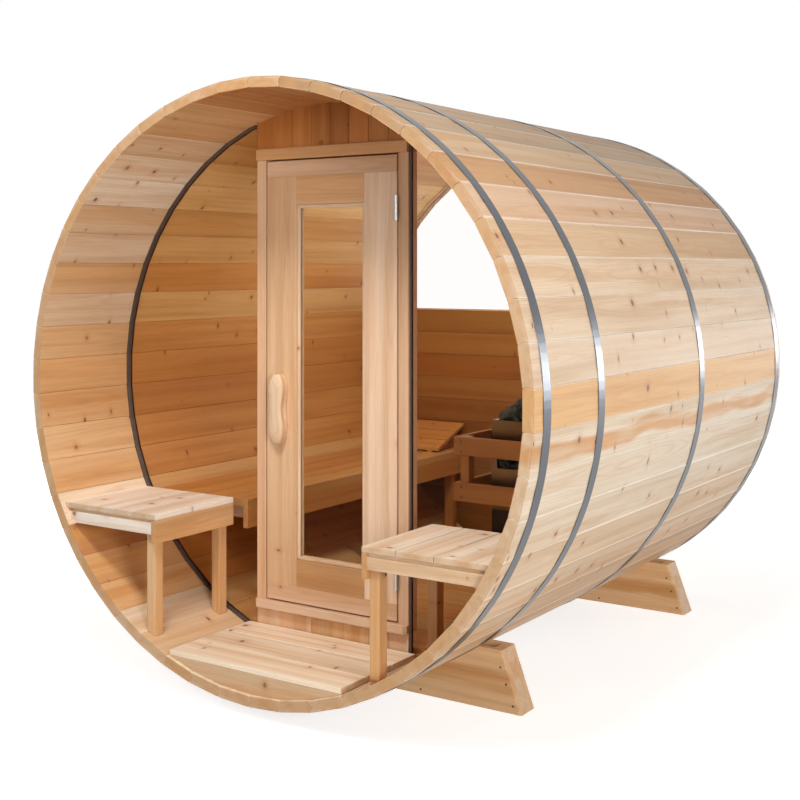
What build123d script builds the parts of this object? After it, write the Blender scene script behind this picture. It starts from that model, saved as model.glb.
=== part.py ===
from build123d import *
from math import asin, ceil, cos, degrees, radians, sin, sqrt, tan
import os

os.makedirs("parts", exist_ok=True)

# Barrel sauna, in millimetres. X runs to the right of someone who faces the door, Y runs from
# the porch to the rear wall and Z is up. The origin is on the ground, below the middle of the
# barrel. A "level" is measured up from the barrel's axis, a "rise" up from the floor boards, and
# a "depth" back from the front rim.

# Barrel: coopered staves, each with a bead on one edge and a cove on the other
barrel_diameter = 2134.0  # across the corners where two staves meet
barrel_length = 2430.0
belly_clearance = 38.0  # from the ground to the lowest stave
stave_count = 50
stave_thickness = 38.0
stave_play = 0.5  # left between a bead and the cove that takes it
bead_radius = 24.0
bead_shoulder = 5.0  # flat left on each side of a bead
croze_depth = 10.0  # groove inside the staves that holds an end wall
croze_play = 0.5

# Steel bands round the staves
band_width = 50.0
band_thickness = 1.2
band_rim_inset = 84.0  # from the front rim to the middle of the first band
band_wall_lag = 4.0  # the second band lies over the front wall
band_middle_depth = 1420.0
band_rear_inset = 47.0  # from the rear rim

# Front wall
porch_depth = 476.0  # from the front rim to the face of the boards
front_board_thickness = 22.0
channel_lead = 6.0  # the curved glazing channel stands this far in front of the boards
channel_setback = 8.0  # the upright channels stand this far behind the face of the boards
channel_depth = 28.0
channel_face = 7.0
glass_thickness = 8.0
glass_setback = 18.0  # from the channel's front to the glass
glass_bite = 5.0  # edge of the glass that the channel hides

# Doorway and its frame
doorway_width = 597.0
sill_rise = 93.0
crown_drop = 198.0  # from the inside of the crown down to the doorway's head
jamb_width = 42.0
jamb_depth = 60.0
head_height = 43.0
head_lead = 10.0
sill_height = 30.0
sill_lead = 22.0
sill_bevel = 12.0
stop_thickness = 13.0
stop_width = 16.0

# Door
door_gap = 6.0  # all round the leaf
door_thickness = 40.0
stile_width = 139.0
cap_rail_height = 60.0
top_rail_height = 107.0
bottom_rail_height = 103.0
glazing_bead_width = 13.0
glazing_bead_thickness = 10.0
handle_length = 260.0
handle_width = 66.0
handle_waist = 54.0
handle_tip = 26.0
handle_taper = 58.0
handle_chamfer = 8.0
handle_thickness = 42.0
handle_edge = 65.0  # from the free edge of the leaf to the middle of the handle
handle_rise = 726.0  # from the foot of the leaf

# Hinges
hinge_height = 90.0
hinge_from_top = 191.0
hinge_from_bottom = 157.0
hinge_leaf_width = 32.0
hinge_leaf_thickness = 2.0
knuckle_radius = 8.0
knuckle_sides = 16
knuckle_gap = 1.0
pin_radius = 4.0
pin_play = 0.4

# Rear wall: boards with a half-moon window above them
rear_chime = 47.0  # from the rear rim to the wall
rear_wall_thickness = 38.0
rear_sill_level = 203.0

# Floor
belly_height = 90.0  # from the lowest stave's inside face to the top of the boards
floor_board_thickness = 20.0
floor_board_gap = 4.0
porch_board_count = 3
room_board_count = 9
floor_setback = 14.0  # from the front rim to the first board
joist_thickness = 20.0
room_joist_count = 3

# Porch benches
porch_seat_rise = 467.0
porch_seat_thickness = 20.0
porch_seat_inner = 447.0  # from the barrel's axis to the aisle side
porch_seat_joints = [575.0, 715.0]
porch_batten_thickness = 12.0
seat_board_gap = 4.0
porch_bench_setback = 20.0
porch_bench_rear_gap = 8.0
apron_thickness = 19.0
apron_height = 73.0
porch_leg_width = 38.0
porch_leg_depth = 45.0

# Room bench, on the left
room_seat_rise = 447.0
room_seat_thickness = 28.0
room_seat_inner = 440.0
room_seat_board_count = 4
room_bench_gap = 6.0  # from its boards to the end walls
room_apron_thickness = 24.0
room_apron_height = 85.0
room_leg_width = 45.0
room_leg_count = 3
room_leg_front_inset = 160.0  # from the end of the bench
room_leg_rear_inset = 110.0

# Headrest: slats on two wedges, against the rear wall
headrest_inner = 485.0
headrest_slope = 21.0
headrest_slat_count = 3
headrest_slat_width = 88.0
headrest_slat_gap = 7.0
headrest_slat_thickness = 14.0
headrest_lift = 8.0  # from the seat to the lowest slat
headrest_wedge_thickness = 28.0
headrest_wedge_inset = 40.0
headrest_wedge_spacing = 290.0

# Heater: a steel casing full of stones, on four legs beside the aisle
heater_left = 310.0
heater_depth = 1150.0
heater_width = 360.0
heater_length = 330.0
heater_height = 540.0
heater_top_rise = 753.0
heater_sheet = 3.0
heater_leg = 25.0
heater_window_margin = 24.0
heater_window_top = 100.0
heater_window_height = 90.0
stone_crown = 85.0
stone_crown_slope = 38.0

# Guard: two rails on posts round the heater, carried by the staves
guard_left_gap = 114.0  # from the guard's face to the heater
guard_front_gap = 100.0
guard_rear_gap = 100.0
guard_post_width = 38.0
guard_post_depth = 45.0
guard_rail_thickness = 19.0
guard_rail_height = 73.0
guard_top_drop = 64.0  # from the top of the heater to the top rail
guard_rail_pitch = 181.0

# Cradles
cradle_front_depth = 552.0  # front rim to the front cradle
cradle_rear_inset = 216.0  # rear rim to the rear cradle
cradle_board_thickness = 22.0
cradle_block_thickness = 57.0
cradle_foot = 745.0  # half its length on the ground
cradle_shoulder = 669.0  # half its length at the top
cradle_height = 211.0
cradle_end_thickness = 38.0

# Values that follow from the driving dimensions
barrel_radius = barrel_diameter / 2
stave_angle = 360 / stave_count
half_angle = stave_angle / 2
outer_apothem = barrel_radius * cos(radians(half_angle))
inner_apothem = outer_apothem - stave_thickness
middle_apothem = outer_apothem - stave_thickness / 2
croze_apothem = inner_apothem + croze_depth
axis_height = belly_clearance + barrel_radius
front_y = -barrel_length / 2
rear_y = barrel_length / 2
wall_y = front_y + porch_depth
channel_y = wall_y - channel_lead
rear_wall_y = rear_y - rear_chime - rear_wall_thickness
floor_level = belly_height - inner_apothem
floor_underside = floor_level - floor_board_thickness
doorway_half = doorway_width / 2
frame_half = doorway_half + jamb_width
doorway_level = floor_level + sill_rise
doorway_top = inner_apothem - crown_drop
doorway_height = doorway_top - doorway_level
head_top = doorway_top + head_height
sill_bottom = doorway_level - sill_height
ground_level = -axis_height
beyond = barrel_diameter  # longer than any cut needs


def upright(y):
    """Plane across the barrel at y: x to the right, y up from the axis, facing the front."""
    return Plane(origin=(0, y, axis_height), x_dir=(1, 0, 0), z_dir=(0, -1, 0))


def level(z):
    """Plane looking down at a level measured from the barrel's axis."""
    return Plane.XY.offset(axis_height + z)


def ring(apothem, mode=Mode.ADD):
    """Outline of the barrel at an apothem, with one flat for each stave."""
    RegularPolygon(apothem, stave_count, major_radius=False, rotation=half_angle, mode=mode)


def band_of_levels(low, high, left=-beyond, right=beyond, mode=Mode.INTERSECT):
    """Rectangle between two levels and two distances across, in an upright sketch."""
    with Locations(((left + right) / 2, (low + high) / 2)):
        Rectangle(right - left, high - low, mode=mode)


def write(piece, name):
    piece.part.label = name
    export_step(piece.part, f"parts/{name}.step")


# ---- Staves ----
bead_half = stave_thickness / 2 - bead_shoulder
bead_inset = sqrt(bead_radius**2 - bead_half**2)
bead_angle = half_angle - degrees(asin(bead_inset / middle_apothem))
outer_half = outer_apothem * tan(radians(half_angle)) - stave_play / 2
inner_half = inner_apothem * tan(radians(half_angle)) - stave_play / 2

with BuildSketch() as stave_profile:
    with BuildLine():
        Polyline(
            (inner_apothem, -inner_half),
            (outer_apothem, -outer_half),
            (outer_apothem, outer_half),
            (inner_apothem, inner_half),
            close=True,
        )
    make_face()
    with PolarLocations(middle_apothem, 1, start_angle=bead_angle):
        Circle(bead_radius)
    with Locations((middle_apothem, 0)):
        Rectangle(stave_thickness, barrel_radius, mode=Mode.INTERSECT)
    with PolarLocations(middle_apothem, 1, start_angle=bead_angle - stave_angle):
        Circle(bead_radius + stave_play, mode=Mode.SUBTRACT)

stave_groups = [
    "right_side",
    "right_upper",
    "roof_right",
    "roof_left",
    "left_upper",
    "left_side",
    "left_lower",
    "floor_left",
    "floor_right",
    "right_lower",
]
group_share = stave_count / len(stave_groups)

for place, group in enumerate(stave_groups):
    first = ceil((place - 0.5) * group_share)
    count = ceil((place + 0.5) * group_share) - first
    with BuildPart() as staves:
        with BuildSketch(upright(front_y)):
            turns = PolarLocations(
                0, count, first * stave_angle, count * stave_angle, endpoint=False
            )
            with turns:
                add(stave_profile.sketch)
        extrude(amount=-barrel_length)
        for groove_y, groove_width in (
            (channel_y, channel_depth),
            (rear_wall_y, rear_wall_thickness),
        ):
            with BuildSketch(upright(groove_y - croze_play)):
                ring(croze_apothem)
            extrude(amount=-groove_width - 2 * croze_play, mode=Mode.SUBTRACT)
    write(staves, f"staves_{group}")

# ---- Bands ----
band_middles = [
    front_y + band_rim_inset,
    wall_y + band_wall_lag,
    front_y + band_middle_depth,
    rear_y - band_rear_inset,
]
with BuildPart() as steel_bands:
    for band_middle in band_middles:
        with BuildSketch(upright(band_middle - band_width / 2)):
            ring(outer_apothem + band_thickness)
            ring(outer_apothem, mode=Mode.SUBTRACT)
        extrude(amount=-band_width)
write(steel_bands, "steel_bands")

# ---- Front wall ----
with BuildPart() as front_header:
    with BuildSketch(upright(wall_y)):
        ring(croze_apothem)
        band_of_levels(head_top, beyond, -frame_half, frame_half)
    extrude(amount=-front_board_thickness)
write(front_header, "front_header")

with BuildPart() as front_kickboard:
    with BuildSketch(upright(wall_y)):
        ring(croze_apothem)
        band_of_levels(-beyond, sill_bottom, -frame_half, frame_half)
    extrude(amount=-front_board_thickness)
write(front_kickboard, "front_kickboard")

glass_y = channel_y + glass_setback
pane_apothem = inner_apothem - channel_face + glass_bite
pane_edge = frame_half + channel_face - glass_bite

with BuildPart() as side_glass:
    with BuildSketch(upright(glass_y)):
        ring(pane_apothem)
        band_of_levels(-beyond, beyond, -pane_edge, pane_edge, mode=Mode.SUBTRACT)
    extrude(amount=-glass_thickness)
write(side_glass, "side_glass")

# ---- Door frame ----
door_half = doorway_half - door_gap
door_low = doorway_level + door_gap
door_high = doorway_top - door_gap
door_back = wall_y + door_thickness
stop_y = door_back + door_gap
frame_back = wall_y + jamb_depth
hinge_lows = [
    door_low + hinge_from_bottom - hinge_height / 2,
    door_high - hinge_from_top - hinge_height / 2,
]
pin_x = doorway_half - door_gap / 2
pin_y = wall_y - knuckle_radius - knuckle_gap

with BuildPart() as door_jambs:
    with BuildSketch(level(doorway_level)):
        for side in (-1, 1):
            with Locations((side * (doorway_half + jamb_width / 2), wall_y + jamb_depth / 2)):
                Rectangle(jamb_width, jamb_depth)
    extrude(amount=doorway_height)
    for low in hinge_lows:
        with BuildSketch(level(low)):
            with Locations((doorway_half, wall_y)):
                Rectangle(hinge_leaf_thickness, hinge_leaf_width, align=Align.MIN)
        extrude(amount=hinge_height, mode=Mode.SUBTRACT)
write(door_jambs, "door_jambs")

with BuildPart() as door_head:
    with BuildSketch(upright(wall_y - head_lead)):
        band_of_levels(doorway_top, head_top, -frame_half, frame_half, mode=Mode.ADD)
    extrude(amount=-head_lead - jamb_depth)
write(door_head, "door_head")

with BuildPart() as door_sill:
    with BuildSketch(upright(wall_y - sill_lead)):
        band_of_levels(sill_bottom, doorway_level, -frame_half, frame_half, mode=Mode.ADD)
    extrude(amount=-sill_lead - jamb_depth)
    nose = door_sill.faces().sort_by(Axis.Y)[0]
    chamfer(nose.edges().filter_by(Axis.Z), sill_bevel)
write(door_sill, "door_sill")

with BuildPart() as door_stops:
    with BuildSketch(level(doorway_level)):
        for side in (-1, 1):
            with Locations((side * (doorway_half - stop_width / 2), stop_y)):
                Rectangle(stop_width, stop_thickness, align=(Align.CENTER, Align.MIN))
    extrude(amount=doorway_height - stop_width)
    with BuildSketch(upright(stop_y)):
        band_of_levels(
            doorway_top - stop_width, doorway_top, -doorway_half, doorway_half, mode=Mode.ADD
        )
    extrude(amount=-stop_thickness)
write(door_stops, "door_stops")

# ---- Door ----
cap_low = door_low + cap_rail_height
cap_high = door_high - cap_rail_height
light_low = cap_low + bottom_rail_height
light_high = cap_high - top_rail_height
light_half = door_half - stile_width

with BuildPart() as door_stiles:
    with BuildSketch(level(cap_low)):
        for side in (-1, 1):
            with Locations((side * (door_half - stile_width / 2), wall_y + door_thickness / 2)):
                Rectangle(stile_width, door_thickness)
    extrude(amount=cap_high - cap_low)
    for low in hinge_lows:
        with BuildSketch(level(low)):
            with Locations((door_half, wall_y)):
                Rectangle(
                    hinge_leaf_thickness, hinge_leaf_width, align=(Align.MAX, Align.MIN)
                )
        extrude(amount=hinge_height, mode=Mode.SUBTRACT)
write(door_stiles, "door_stiles")

with BuildPart() as door_cap_rails:
    with BuildSketch(upright(wall_y)):
        band_of_levels(door_low, cap_low, -door_half, door_half, mode=Mode.ADD)
        band_of_levels(cap_high, door_high, -door_half, door_half, mode=Mode.ADD)
    extrude(amount=-door_thickness)
write(door_cap_rails, "door_cap_rails")

with BuildPart() as door_rails:
    with BuildSketch(upright(wall_y)):
        band_of_levels(cap_low, light_low, -light_half, light_half, mode=Mode.ADD)
        band_of_levels(light_high, cap_high, -light_half, light_half, mode=Mode.ADD)
    extrude(amount=-door_thickness)
write(door_rails, "door_rails")

with BuildPart() as door_glass:
    with BuildSketch(upright(wall_y + (door_thickness - glass_thickness) / 2)):
        band_of_levels(light_low, light_high, -light_half, light_half, mode=Mode.ADD)
    extrude(amount=-glass_thickness)
write(door_glass, "door_glass")

sight_half = light_half - glazing_bead_width
sight_low = light_low + glazing_bead_width
sight_high = light_high - glazing_bead_width
bead_setback = (door_thickness - glass_thickness) / 2 - glazing_bead_thickness
with BuildPart() as door_glazing_beads:
    for bead_y in (wall_y + bead_setback, door_back - bead_setback - glazing_bead_thickness):
        with BuildSketch(upright(bead_y)):
            band_of_levels(light_low, light_high, -light_half, light_half, mode=Mode.ADD)
            band_of_levels(sight_low, sight_high, -sight_half, sight_half, mode=Mode.SUBTRACT)
        extrude(amount=-glazing_bead_thickness)
write(door_glazing_beads, "door_glazing_beads")

handle_shoulder = handle_length / 2 - handle_taper
handle_level = door_low + handle_rise
handle_outline = [
    (-handle_tip / 2, handle_length / 2),
    (-handle_width / 2, handle_shoulder),
    (-handle_waist / 2, 0),
    (-handle_width / 2, -handle_shoulder),
    (-handle_tip / 2, -handle_length / 2),
]
handle_outline += [(-across, up) for across, up in reversed(handle_outline)]

with BuildPart() as door_handles:
    for face_y, reach in ((wall_y, handle_thickness), (door_back, -handle_thickness)):
        with BuildSketch(upright(face_y)):
            with Locations((-door_half + handle_edge, handle_level)):
                with BuildLine(mode=Mode.PRIVATE):
                    outline = Polyline(*handle_outline, close=True)
                add(make_face(outline.edges(), mode=Mode.PRIVATE))
        extrude(amount=reach)
    handle_faces = door_handles.faces().sort_by(Axis.Y)
    for grip in (handle_faces[0], handle_faces[-1]):
        chamfer(grip.edges(), handle_chamfer)
write(door_handles, "door_handles")

# ---- Hinges ----
knuckle_height = (hinge_height - 2 * knuckle_gap) / 3
with BuildPart() as door_hinge_leaves:
    for low in hinge_lows:
        middle_low = low + knuckle_height + knuckle_gap
        with BuildSketch(level(low)):
            with Locations((door_half, wall_y)):
                Rectangle(
                    hinge_leaf_thickness, hinge_leaf_width, align=(Align.MAX, Align.MIN)
                )
        extrude(amount=hinge_height)
        with BuildSketch(level(middle_low)):
            with Locations((pin_x, pin_y)):
                RegularPolygon(knuckle_radius, knuckle_sides)
            with Locations((door_half, pin_y)):
                Rectangle(hinge_leaf_thickness, wall_y - pin_y, align=(Align.MAX, Align.MIN))
            with Locations((pin_x, pin_y)):
                RegularPolygon(pin_radius + pin_play, knuckle_sides, mode=Mode.SUBTRACT)
        extrude(amount=knuckle_height)
write(door_hinge_leaves, "door_hinge_leaves")

with BuildPart() as frame_hinge_leaves:
    for low in hinge_lows:
        with BuildSketch(level(low)):
            with Locations((doorway_half, wall_y)):
                Rectangle(hinge_leaf_thickness, hinge_leaf_width, align=Align.MIN)
            with Locations((pin_x, pin_y)):
                RegularPolygon(pin_radius, knuckle_sides)
        extrude(amount=hinge_height)
        for end_low in (low, low + hinge_height - knuckle_height):
            with BuildSketch(level(end_low)):
                with Locations((pin_x, pin_y)):
                    RegularPolygon(knuckle_radius, knuckle_sides)
                with Locations((doorway_half, pin_y)):
                    Rectangle(hinge_leaf_thickness, wall_y - pin_y, align=Align.MIN)
            extrude(amount=knuckle_height)
write(frame_hinge_leaves, "frame_hinge_leaves")

# ---- Rear wall ----
with BuildPart() as rear_wall:
    with BuildSketch(upright(rear_wall_y)):
        ring(croze_apothem)
        band_of_levels(-beyond, rear_sill_level)
    extrude(amount=-rear_wall_thickness)
write(rear_wall, "rear_wall")

rear_glass_y = rear_wall_y + (rear_wall_thickness - glass_thickness) / 2
with BuildPart() as rear_glass:
    with BuildSketch(upright(rear_glass_y)):
        ring(pane_apothem)
        band_of_levels(rear_sill_level + channel_face - glass_bite, beyond)
    extrude(amount=-glass_thickness)
write(rear_glass, "rear_glass")

# Channels line the croze and the straight edges, and grip each pane
with BuildPart() as glass_channels:
    with BuildSketch(upright(channel_y)):
        ring(croze_apothem)
        band_of_levels(-beyond, beyond, -frame_half, frame_half, mode=Mode.SUBTRACT)
    extrude(amount=-channel_depth)
    with BuildSketch(upright(rear_wall_y)):
        ring(croze_apothem)
        band_of_levels(rear_sill_level, beyond)
    extrude(amount=-rear_wall_thickness)
    with BuildSketch(upright(channel_y)):
        ring(inner_apothem - channel_face)
        sight = frame_half + channel_face
        band_of_levels(-beyond, beyond, -sight, sight, mode=Mode.SUBTRACT)
    extrude(amount=-channel_depth, mode=Mode.SUBTRACT)
    with BuildSketch(upright(rear_wall_y)):
        ring(inner_apothem - channel_face)
        band_of_levels(rear_sill_level + channel_face, beyond)
    extrude(amount=-rear_wall_thickness, mode=Mode.SUBTRACT)
    with BuildSketch(upright(channel_y)):
        band_of_levels(-beyond, beyond, -sight, sight, mode=Mode.ADD)
    extrude(amount=-channel_lead - channel_setback, mode=Mode.SUBTRACT)
    add(side_glass.part, mode=Mode.SUBTRACT)
    add(rear_glass.part, mode=Mode.SUBTRACT)
write(glass_channels, "glass_channels")

# ---- Floor ----
floor_half = sqrt(inner_apothem**2 - floor_underside**2)  # the lower edges meet the staves
room_y = frame_back
room_length = rear_wall_y - room_y


def floor_boards(start_y, length, count):
    """Boards across the barrel, with equal gaps between them."""
    pitch = (length + floor_board_gap) / count
    with BuildPart() as boards:
        with BuildSketch(level(floor_underside)):
            for board in range(count):
                with Locations((0, start_y + board * pitch)):
                    Rectangle(
                        2 * floor_half,
                        pitch - floor_board_gap,
                        align=(Align.CENTER, Align.MIN),
                    )
        extrude(amount=floor_board_thickness)
    return boards


porch_floor_y = front_y + floor_setback
porch_floor = floor_boards(porch_floor_y, channel_y - porch_floor_y, porch_board_count)
write(porch_floor, "porch_floor")

room_floor = floor_boards(room_y, room_length, room_board_count)
write(room_floor, "room_floor")

joist_ys = [porch_floor_y, channel_y - joist_thickness, room_y]
room_joist_pitch = (room_length - joist_thickness) / (room_joist_count - 1)
joist_ys += [room_y + place * room_joist_pitch for place in range(1, room_joist_count)]
with BuildPart() as floor_joists:
    for joist_y in joist_ys:
        with BuildSketch(upright(joist_y)):
            ring(inner_apothem)
            band_of_levels(-beyond, floor_underside)
        extrude(amount=-joist_thickness)
write(floor_joists, "floor_joists")

# ---- Porch benches ----
bench_y = front_y + porch_bench_setback
bench_length = channel_y - porch_bench_rear_gap - bench_y
porch_seat_level = floor_level + porch_seat_rise
porch_seat_underside = porch_seat_level - porch_seat_thickness
apron_top = porch_seat_underside - porch_batten_thickness
apron_bottom = apron_top - apron_height
apron_inner = porch_seat_inner + apron_thickness
seat_edges = [porch_seat_inner] + porch_seat_joints + [beyond]

with BuildPart() as porch_bench_boards:
    with BuildSketch(upright(bench_y)):
        for side in (-1, 1):
            for inner, outer in zip(seat_edges, seat_edges[1:]):
                near, far = side * inner, side * (outer - seat_board_gap)
                band_of_levels(
                    porch_seat_underside,
                    porch_seat_level,
                    min(near, far),
                    max(near, far),
                    mode=Mode.ADD,
                )
        ring(inner_apothem, mode=Mode.INTERSECT)
    extrude(amount=-bench_length)
write(porch_bench_boards, "porch_bench_boards")

bearer_ys = (bench_y, bench_y + bench_length - apron_thickness)
with BuildPart() as porch_bench_aprons:
    for bearer_y in bearer_ys:
        with BuildSketch(upright(bearer_y)):
            ring(inner_apothem)
            band_of_levels(apron_bottom, apron_top)
            band_of_levels(-beyond, beyond, -apron_inner, apron_inner, mode=Mode.SUBTRACT)
        extrude(amount=-apron_thickness)
write(porch_bench_aprons, "porch_bench_aprons")

with BuildPart() as porch_bench_battens:
    for bearer_y in bearer_ys:
        with BuildSketch(upright(bearer_y)):
            ring(inner_apothem)
            band_of_levels(apron_top, porch_seat_underside)
            band_of_levels(-beyond, beyond, -apron_inner, apron_inner, mode=Mode.SUBTRACT)
        extrude(amount=-apron_thickness)

with BuildPart() as porch_bench_fascias:
    with BuildSketch(upright(bench_y)):
        for near, far in (
            (-apron_inner, -porch_seat_inner),
            (porch_seat_inner, apron_inner),
        ):
            band_of_levels(apron_bottom, porch_seat_underside, near, far, mode=Mode.ADD)
    extrude(amount=-bench_length)
write(porch_bench_fascias, "porch_bench_fascias")

# ---- Room bench ----
room_seat_level = floor_level + room_seat_rise
room_seat_underside = room_seat_level - room_seat_thickness
room_apron_bottom = room_seat_underside - room_apron_height
room_bench_y = room_y + room_bench_gap
room_bench_length = room_length - 2 * room_bench_gap
room_seat_outer = sqrt(inner_apothem**2 - room_seat_level**2)
room_board_pitch = (room_seat_outer - room_seat_inner + seat_board_gap) / room_seat_board_count

with BuildPart() as room_bench_boards:
    with BuildSketch(upright(room_bench_y)):
        for board in range(room_seat_board_count):
            right = -room_seat_inner - board * room_board_pitch
            left = right - room_board_pitch + seat_board_gap
            band_of_levels(room_seat_underside, room_seat_level, left, right, mode=Mode.ADD)
        ring(inner_apothem, mode=Mode.INTERSECT)
    extrude(amount=-room_bench_length)
write(room_bench_boards, "room_bench_boards")

with BuildPart() as room_bench_fascia:
    with BuildSketch(upright(room_bench_y)):
        band_of_levels(
            room_apron_bottom,
            room_seat_underside,
            -room_seat_inner - room_apron_thickness,
            -room_seat_inner,
            mode=Mode.ADD,
        )
    extrude(amount=-room_bench_length)
write(room_bench_fascia, "room_bench_fascia")

room_leg_inner = room_seat_inner + room_apron_thickness
room_leg_span = room_bench_length - room_leg_front_inset - room_leg_rear_inset - room_leg_width
room_leg_ys = [
    room_bench_y + room_leg_front_inset + place * room_leg_span / (room_leg_count - 1)
    for place in range(room_leg_count)
]
with BuildPart() as bench_bearers:
    add(porch_bench_battens.part)
    for leg_y in room_leg_ys:
        with BuildSketch(upright(leg_y)):
            ring(inner_apothem)
            band_of_levels(
                room_apron_bottom,
                room_seat_underside,
                -beyond,
                -room_leg_inner - room_leg_width,
            )
        extrude(amount=-room_leg_width)
write(bench_bearers, "bench_bearers")

# Every leg is cut to the staves that it stands on
leg_x = apron_inner + porch_leg_width / 2
with BuildPart() as bench_legs:
    for leg_y in (
        bench_y + apron_thickness,
        bench_y + bench_length - apron_thickness - porch_leg_depth,
    ):
        with BuildSketch(upright(leg_y)):
            with Locations((-leg_x, porch_seat_underside), (leg_x, porch_seat_underside)):
                Rectangle(porch_leg_width, beyond, align=(Align.CENTER, Align.MAX))
            ring(inner_apothem, mode=Mode.INTERSECT)
        extrude(amount=-porch_leg_depth)
    for leg_y in room_leg_ys:
        with BuildSketch(upright(leg_y)):
            with Locations((-room_leg_inner, room_seat_underside)):
                Rectangle(room_leg_width, beyond, align=Align.MAX)
            ring(inner_apothem, mode=Mode.INTERSECT)
        extrude(amount=-room_leg_width)
write(bench_legs, "bench_legs")

# ---- Headrest ----
headrest_rise = tan(radians(headrest_slope))
slat_run = headrest_slat_count * (headrest_slat_width + headrest_slat_gap) - headrest_slat_gap
slat_foot = rear_wall_y - slat_run * cos(radians(headrest_slope))
slat_low = room_seat_level + headrest_lift


def side_view(x):
    """Plane along the barrel at x: x to the rear, y up from the axis."""
    return Plane(origin=(x, 0, axis_height), x_dir=(0, 1, 0), z_dir=(1, 0, 0))


with BuildPart() as headrest:
    for place in range(headrest_slat_count):
        along = place * (headrest_slat_width + headrest_slat_gap)
        with BuildSketch(side_view(-headrest_inner)):
            with Locations(Location((slat_foot, slat_low), headrest_slope)):
                with Locations((along, 0)):
                    Rectangle(headrest_slat_width, headrest_slat_thickness, align=Align.MIN)
        extrude(amount=-barrel_radius)
    for place in range(2):
        wedge_x = -headrest_inner - headrest_wedge_inset - place * headrest_wedge_spacing
        with BuildSketch(side_view(wedge_x)):
            with BuildLine():
                Polyline(
                    (slat_foot, room_seat_level),
                    (rear_wall_y, room_seat_level),
                    (rear_wall_y, slat_low + (rear_wall_y - slat_foot) * headrest_rise),
                    (slat_foot, slat_low),
                    close=True,
                )
            make_face()
        extrude(amount=-headrest_wedge_thickness)
    with BuildSketch(upright(slat_foot)):
        ring(inner_apothem)
        band_of_levels(room_seat_level, beyond)
    extrude(amount=slat_foot - rear_wall_y, mode=Mode.INTERSECT)
write(headrest, "headrest")

# ---- Heater and its guard ----
heater_y = front_y + heater_depth
heater_top_level = floor_level + heater_top_rise
heater_bottom = heater_top_level - heater_height
heater_middle = heater_left + heater_width / 2
heater_centre = (heater_middle, heater_y + heater_length / 2)

with BuildPart() as heater_body:
    with BuildSketch(level(heater_bottom)):
        with Locations(heater_centre):
            Rectangle(heater_width, heater_length)
    extrude(amount=heater_height)
    offset(amount=-heater_sheet, openings=heater_body.faces().sort_by(Axis.Z)[-1])
    with BuildSketch(upright(heater_y)):
        with Locations((heater_middle, heater_top_level - heater_window_top)):
            Rectangle(
                heater_width - 2 * heater_window_margin,
                heater_window_height,
                align=(Align.CENTER, Align.MAX),
            )
    extrude(amount=-heater_sheet, mode=Mode.SUBTRACT)
    for leg_y in (heater_y, heater_y + heater_length - heater_leg):
        with BuildSketch(upright(leg_y)):
            with Locations((heater_left, heater_bottom)):
                Rectangle(heater_leg, beyond, align=(Align.MIN, Align.MAX))
            with Locations((heater_left + heater_width, heater_bottom)):
                Rectangle(heater_leg, beyond, align=Align.MAX)
            ring(inner_apothem, mode=Mode.INTERSECT)
            band_of_levels(-beyond, floor_level, -floor_half, floor_half, mode=Mode.SUBTRACT)
        extrude(amount=-heater_leg)
write(heater_body, "heater_body")

with BuildPart() as heater_stones:
    with BuildSketch(level(heater_bottom + heater_sheet)):
        with Locations(heater_centre):
            Rectangle(heater_width - 2 * heater_sheet, heater_length - 2 * heater_sheet)
    extrude(amount=heater_height - heater_sheet)
    stone_bed = heater_stones.faces().sort_by(Axis.Z)[-1]
    extrude(stone_bed, amount=stone_crown, taper=stone_crown_slope)
write(heater_stones, "heater_stones")

guard_left = heater_left - guard_left_gap
guard_front = heater_y - guard_front_gap
guard_rear = heater_y + heater_length + guard_rear_gap
guard_top = heater_top_level - guard_top_drop
guard_rail_lows = [guard_top - guard_rail_height - row * guard_rail_pitch for row in range(2)]
post_left = guard_left + guard_rail_thickness
with BuildPart() as heater_guard:
    for rail_y in (guard_front, guard_rear - guard_rail_thickness):
        with BuildSketch(upright(rail_y)):
            for rail_low in guard_rail_lows:
                band_of_levels(
                    rail_low, rail_low + guard_rail_height, guard_left, beyond, mode=Mode.ADD
                )
            ring(inner_apothem, mode=Mode.INTERSECT)
        extrude(amount=-guard_rail_thickness)
    with BuildSketch(upright(guard_front)):
        for rail_low in guard_rail_lows:
            band_of_levels(
                rail_low, rail_low + guard_rail_height, guard_left, post_left, mode=Mode.ADD
            )
    extrude(amount=guard_front - guard_rear)
    for post_y in (
        guard_front + guard_rail_thickness,
        guard_rear - guard_rail_thickness - guard_post_depth,
    ):
        with BuildSketch(upright(post_y)):
            band_of_levels(
                guard_rail_lows[-1],
                guard_top,
                post_left,
                post_left + guard_post_width,
                mode=Mode.ADD,
            )
        extrude(amount=-guard_post_depth)
write(heater_guard, "heater_guard")

# ---- Cradles ----
cradle_top = ground_level + cradle_height
cradle_depth = 2 * cradle_board_thickness + cradle_block_thickness
cradle_ys = (front_y + cradle_front_depth, rear_y - cradle_rear_inset - cradle_depth)


def cradle_corners(reach):
    """Corners of a cradle's side, drawn in by reach at its sloping ends."""
    return [
        (-cradle_foot + reach, ground_level),
        (cradle_foot - reach, ground_level),
        (cradle_shoulder - reach, cradle_top),
        (-cradle_shoulder + reach, cradle_top),
    ]


with BuildPart() as cradle_boards:
    for cradle_y in cradle_ys:
        for board_y in (cradle_y, cradle_y + cradle_depth - cradle_board_thickness):
            with BuildSketch(upright(board_y)):
                with BuildLine():
                    Polyline(*cradle_corners(0), close=True)
                make_face()
                ring(outer_apothem, mode=Mode.SUBTRACT)
            extrude(amount=-cradle_board_thickness)
write(cradle_boards, "cradle_boards")

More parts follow.
